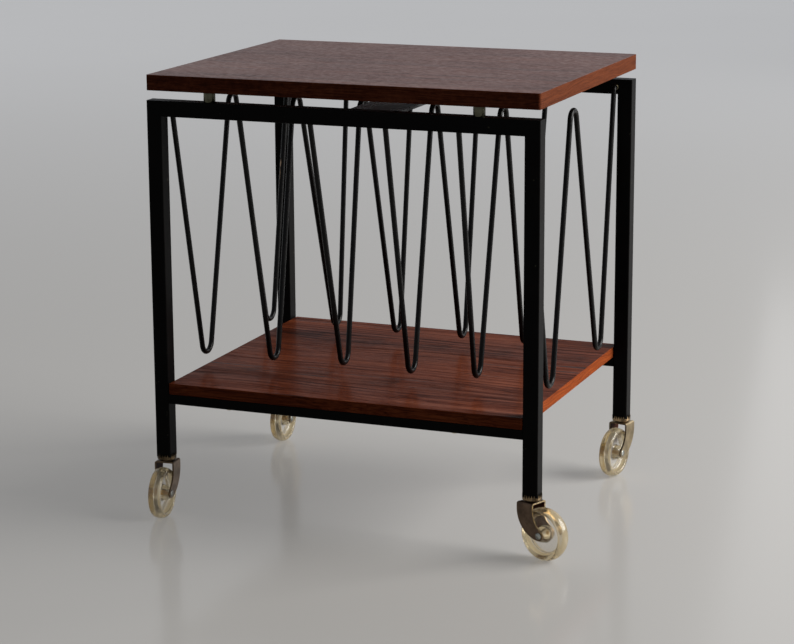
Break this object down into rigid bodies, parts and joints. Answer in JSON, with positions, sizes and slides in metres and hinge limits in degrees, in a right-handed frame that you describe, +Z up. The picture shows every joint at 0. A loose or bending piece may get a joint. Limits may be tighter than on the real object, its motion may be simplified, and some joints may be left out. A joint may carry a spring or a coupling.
{
  "type": "rolling magazine rack",
  "caption": "Square-tube rack with a wooden top floating on brass spacers, a wooden shelf, bent wire dividers between them and swivel casters with clear wheels.",
  "frame": {"origin": "centre of the frame on the floor, between the four legs", "axes": "+X to the right along the width, +Y from front to back, +Z up from the floor"},
  "size_m": [0.4916, 0.395, 0.5],
  "materials": {
    "teak_top": "satin oiled teak, greyish brown with fine straight grain",
    "teak_shelf": "satin oiled teak, redder than the top",
    "black_lacquer": "semi-gloss black stoving lacquer",
    "black_wire": "semi-gloss black lacquer on drawn wire",
    "aged_brass": "aged, slightly dull brass",
    "caster_brass": "worn brass",
    "dark_brass": "tarnished brass",
    "bronzed_steel": "bronze-plated sheet steel, worn bright at the edges",
    "bright_steel": "bright steel, slightly worn",
    "screw_steel": "plain steel",
    "amber_plastic": "clear amber polystyrene, polished",
    "plug_plastic": "matt"
  },
  "bodies": {
    "rack": {"top_board": "teak_top", "shelf_board": "teak_shelf", "front_top_rail": "black_lacquer", "back_top_rail": "black_lacquer", "front_lower_rail": "black_lacquer", "back_lower_rail": "black_lacquer", "tie_bar": "black_lacquer", "board_screws": "screw_steel", "shelf_screws": "screw_steel", "leg_front_left": "black_lacquer", "leg_front_right": "black_lacquer", "leg_back_left": "black_lacquer", "leg_back_right": "black_lacquer", "leg_plug_front_left": "plug_plastic", "leg_plug_front_right": "plug_plastic", "leg_plug_back_left": "plug_plastic", "leg_plug_back_right": "plug_plastic", "board_spacer_front_left": "aged_brass", "board_spacer_front_right": "aged_brass", "board_spacer_back_left": "aged_brass", "board_spacer_back_right": "aged_brass", "divider_1": "black_wire", "divider_2": "black_wire", "divider_3": "black_wire", "divider_4": "black_wire", "divider_5": "black_wire", "divider_6": "black_wire", "caster_socket_front_left": "caster_brass", "caster_socket_front_right": "caster_brass", "caster_socket_back_left": "caster_brass", "caster_socket_back_right": "caster_brass"},
    "caster_front_left": {"caster_stem_front_left": "bright_steel", "caster_washer_front_left": "dark_brass", "caster_fork_front_left": "bronzed_steel", "caster_axle_front_left": "bright_steel"},
    "wheel_front_left": {"caster_wheel_front_left": "amber_plastic", "caster_bush_front_left": "caster_brass"},
    "caster_front_right": {"caster_stem_front_right": "bright_steel", "caster_washer_front_right": "dark_brass", "caster_fork_front_right": "bronzed_steel", "caster_axle_front_right": "bright_steel"},
    "wheel_front_right": {"caster_wheel_front_right": "amber_plastic", "caster_bush_front_right": "caster_brass"},
    "caster_back_left": {"caster_stem_back_left": "bright_steel", "caster_washer_back_left": "dark_brass", "caster_fork_back_left": "bronzed_steel", "caster_axle_back_left": "bright_steel"},
    "wheel_back_left": {"caster_wheel_back_left": "amber_plastic", "caster_bush_back_left": "caster_brass"},
    "caster_back_right": {"caster_stem_back_right": "bright_steel", "caster_washer_back_right": "dark_brass", "caster_fork_back_right": "bronzed_steel", "caster_axle_back_right": "bright_steel"},
    "wheel_back_right": {"caster_wheel_back_right": "amber_plastic", "caster_bush_back_right": "caster_brass"}
  },
  "joints": [
    {"name": "swivel_front_left", "type": "hinge", "parent": "rack", "child": "caster_front_left", "pos_m": [-0.21735, -0.16735, 0.0628], "axis": [0, 0, 1], "continuous": true},
    {"name": "wheel_spin_front_left", "type": "hinge", "parent": "caster_front_left", "child": "wheel_front_left", "pos_m": [-0.2155, -0.18495, 0.029], "axis": [0.9945, 0.1045, 0], "continuous": true},
    {"name": "swivel_front_right", "type": "hinge", "parent": "rack", "child": "caster_front_right", "pos_m": [0.21735, -0.16735, 0.0628], "axis": [0, 0, 1], "continuous": true},
    {"name": "wheel_spin_front_right", "type": "hinge", "parent": "caster_front_right", "child": "wheel_front_right", "pos_m": [0.23387, -0.17369, 0.029], "axis": [0.3584, 0.9336, 0], "continuous": true},
    {"name": "swivel_back_left", "type": "hinge", "parent": "rack", "child": "caster_back_left", "pos_m": [-0.21735, 0.16735, 0.0628], "axis": [0, 0, 1], "continuous": true},
    {"name": "wheel_spin_back_left", "type": "hinge", "parent": "caster_back_left", "child": "wheel_back_left", "pos_m": [-0.21673, 0.14966, 0.029], "axis": [0.9994, 0.0349, 0], "continuous": true},
    {"name": "swivel_back_right", "type": "hinge", "parent": "rack", "child": "caster_back_right", "pos_m": [0.21735, 0.16735, 0.0628], "axis": [0, 0, 1], "continuous": true},
    {"name": "wheel_spin_back_right", "type": "hinge", "parent": "caster_back_right", "child": "wheel_back_right", "pos_m": [0.21428, 0.14992, 0.029], "axis": [0.9848, -0.1736, 0], "continuous": true}
  ]
}
